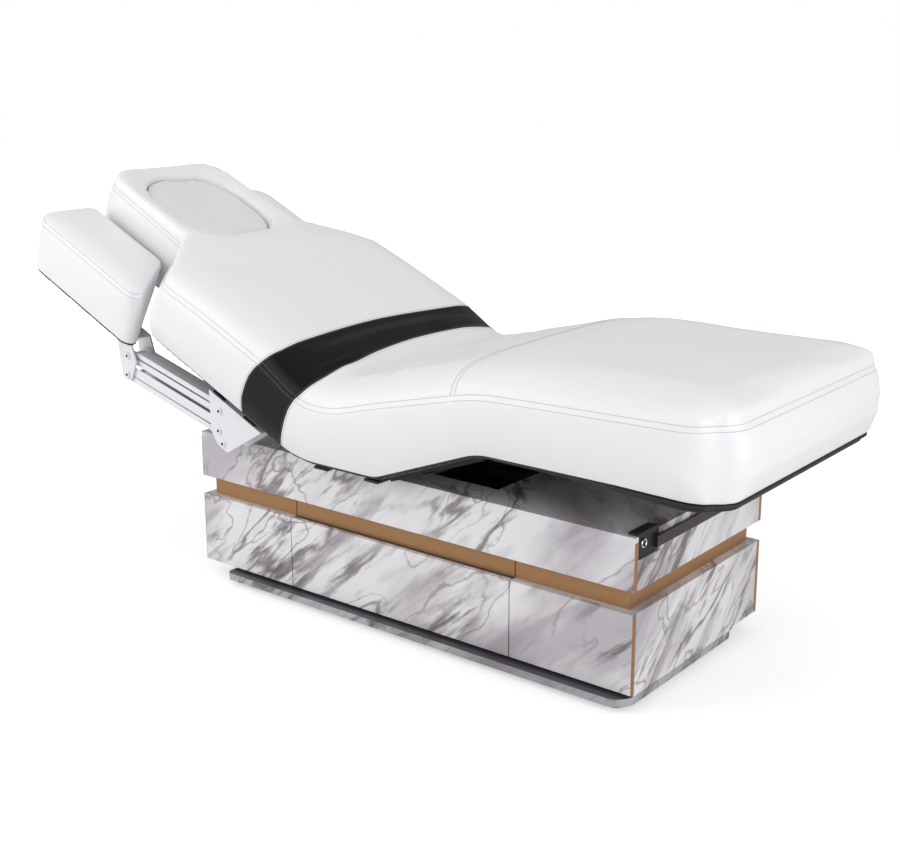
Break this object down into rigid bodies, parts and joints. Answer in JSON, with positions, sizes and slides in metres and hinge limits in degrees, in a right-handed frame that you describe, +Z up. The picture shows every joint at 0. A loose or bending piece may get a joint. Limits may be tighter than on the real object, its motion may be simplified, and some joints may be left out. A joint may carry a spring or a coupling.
{
  "type": "treatment table",
  "caption": "Powered treatment table on a marbled storage cabinet, with a padded adjustable top, folding knee section, padded armrests and an oval face plug.",
  "frame": {"origin": "on the floor, at mid width, at the middle of the whole length", "axes": "+X towards the foot end, +Y towards the far side, +Z up; the drawers open towards -Y"},
  "size_m": [2.1626, 0.85, 1.0471],
  "materials": {
    "marbled_board": "white laminate board with grey veins",
    "plinth_board": "dark board with a marbled edge",
    "carcass_board": "dark coated board",
    "bronze_strip": "satin bronze",
    "black_frame": "matt black powder coat",
    "white_frame": "satin white powder coat",
    "dark_rail": "satin dark coat",
    "bright_ring": "polished",
    "steel_tube": "brushed",
    "actuator_case": "matt black",
    "drawer_board": "light coated board",
    "foot_pad": "matt black",
    "deck_board": "black coated board",
    "white_upholstery": "smooth white coated fabric over foam",
    "black_upholstery": "smooth black coated fabric over foam"
  },
  "bodies": {
    "base": {"plinth_board": "plinth_board", "levelling_feet": "foot_pad", "carcass_floor": "carcass_board", "carcass_uprights": "carcass_board", "carcass_rails": "carcass_board", "carcass_walls": "carcass_board", "upper_side_panels": "marbled_board", "upper_end_panels": "marbled_board", "top_board": "marbled_board", "lower_panel_centre": "marbled_board", "lower_panel_far": "marbled_board", "lower_end_panels": "marbled_board", "band_strips": "bronze_strip", "edge_strips": "bronze_strip", "rail_brackets": "black_frame", "end_rail": "dark_rail", "rail_rings": "bright_ring", "drawer_slides": "steel_tube", "column_outers": "steel_tube", "control_box": "actuator_case"},
    "drawer_left": {"drawer_front_left": "marbled_board", "drawer_trim_left": "bronze_strip", "drawer_box_left": "drawer_board", "drawer_runners_left": "steel_tube"},
    "drawer_right": {"drawer_front_right": "marbled_board", "drawer_trim_right": "bronze_strip", "drawer_box_right": "drawer_board", "drawer_runners_right": "steel_tube"},
    "column_middles": {"column_middles": "steel_tube"},
    "carriage": {"column_inners": "steel_tube", "carriage_frame": "black_frame", "seat_deck": "deck_board", "seat_cushion": "white_upholstery", "hip_fold": "black_upholstery", "lap_fold": "white_upholstery", "back_actuator": "actuator_case", "thigh_actuator": "actuator_case"},
    "back": {"back_frame": "black_frame", "back_deck": "deck_board", "back_cushion": "white_upholstery", "arm_mount_near": "white_frame", "arm_mount_far": "white_frame"},
    "face_plug": {"face_plug": "white_upholstery"},
    "thigh": {"thigh_frame": "black_frame", "thigh_deck": "deck_board", "thigh_cushion": "white_upholstery", "knee_fold": "white_upholstery"},
    "leg": {"leg_frame": "black_frame", "leg_deck": "deck_board", "leg_cushion": "white_upholstery"},
    "back_rod": {"back_rod": "steel_tube"},
    "thigh_rod": {"thigh_rod": "steel_tube"},
    "arm_lower_near": {"arm_lower_link_near": "white_frame"},
    "arm_upper_near": {"arm_upper_link_near": "white_frame"},
    "arm_pad_near": {"pad_bracket_near": "white_frame", "arm_pad_near": "white_upholstery"},
    "arm_lower_far": {"arm_lower_link_far": "white_frame"},
    "arm_upper_far": {"arm_upper_link_far": "white_frame"},
    "arm_pad_far": {"pad_bracket_far": "white_frame", "arm_pad_far": "white_upholstery"}
  },
  "joints": [
    {"name": "lift", "type": "slide", "parent": "base", "child": "carriage", "axis": [0, 0, 1], "range_m": [0, 0.3]},
    {"name": "lift_middle", "type": "slide", "parent": "base", "child": "column_middles", "axis": [0, 0, 1], "range_m": [0, 0.15]},
    {"name": "back_tilt", "type": "hinge", "parent": "carriage", "child": "back", "pos_m": [-0.074, 0, 0.408], "axis": [0, 1, 0], "range_deg": [-24.7, 45.3], "deforming": ["hip_fold"]},
    {"name": "thigh_tilt", "type": "hinge", "parent": "carriage", "child": "thigh", "pos_m": [0.186, 0, 0.408], "axis": [0, -1, 0], "range_deg": [-20.7, 5], "deforming": ["lap_fold"]},
    {"name": "leg_tilt", "type": "hinge", "parent": "thigh", "child": "leg", "pos_m": [0.48321, 0, 0.531], "axis": [0, -1, 0], "range_deg": [-5, 20.7], "deforming": ["knee_fold"]},
    {"name": "back_rod_slide", "type": "slide", "parent": "carriage", "child": "back_rod", "axis": [1, 0, 0], "range_m": [-0.04388, 0.02393]},
    {"name": "thigh_rod_slide", "type": "slide", "parent": "carriage", "child": "thigh_rod", "axis": [1, 0, 0], "range_m": [-0.0215, 0.00519]},
    {"name": "face_plug_lift", "type": "slide", "parent": "back", "child": "face_plug", "axis": [0.4179, 0, 0.9085], "range_m": [0, 0.18]},
    {"name": "drawer_left_slide", "type": "slide", "parent": "base", "child": "drawer_left", "axis": [0, -1, 0], "range_m": [0, 0.4]},
    {"name": "drawer_right_slide", "type": "slide", "parent": "base", "child": "drawer_right", "axis": [0, -1, 0], "range_m": [0, 0.4]},
    {"name": "arm_near_lower", "type": "hinge", "parent": "back", "child": "arm_lower_near", "pos_m": [-0.3653, -0.34, 0.44952], "axis": [0, 1, 0], "range_deg": [-25, 12]},
    {"name": "arm_near_upper", "type": "hinge", "parent": "back", "child": "arm_upper_near", "pos_m": [-0.36076, -0.34, 0.50247], "axis": [0, 1, 0], "range_deg": [-25, 12]},
    {"name": "arm_near_pad", "type": "hinge", "parent": "arm_lower_near", "child": "arm_pad_near", "pos_m": [-0.72058, -0.34, 0.54579], "axis": [0, 1, 0], "range_deg": [-12, 25]},
    {"name": "arm_far_lower", "type": "hinge", "parent": "back", "child": "arm_lower_far", "pos_m": [-0.3653, 0.34, 0.44952], "axis": [0, 1, 0], "range_deg": [-25, 12]},
    {"name": "arm_far_upper", "type": "hinge", "parent": "back", "child": "arm_upper_far", "pos_m": [-0.36076, 0.34, 0.50247], "axis": [0, 1, 0], "range_deg": [-25, 12]},
    {"name": "arm_far_pad", "type": "hinge", "parent": "arm_lower_far", "child": "arm_pad_far", "pos_m": [-0.72058, 0.34, 0.54579], "axis": [0, 1, 0], "range_deg": [-12, 25]}
  ],
  "couplings": [
    {"joint": "lift_middle", "follows": "lift", "ratio": 0.5},
    {"joint": "leg_tilt", "follows": "thigh_tilt", "ratio": -1},
    {"joint": "back_rod_slide", "follows": "back_tilt", "m_per_rad": -0.0555},
    {"joint": "thigh_rod_slide", "follows": "thigh_tilt", "m_per_rad": 0.0595},
    {"joint": "arm_near_upper", "follows": "arm_near_lower", "ratio": 1},
    {"joint": "arm_near_pad", "follows": "arm_near_lower", "ratio": -1},
    {"joint": "arm_far_upper", "follows": "arm_far_lower", "ratio": 1},
    {"joint": "arm_far_pad", "follows": "arm_far_lower", "ratio": -1}
  ]
}
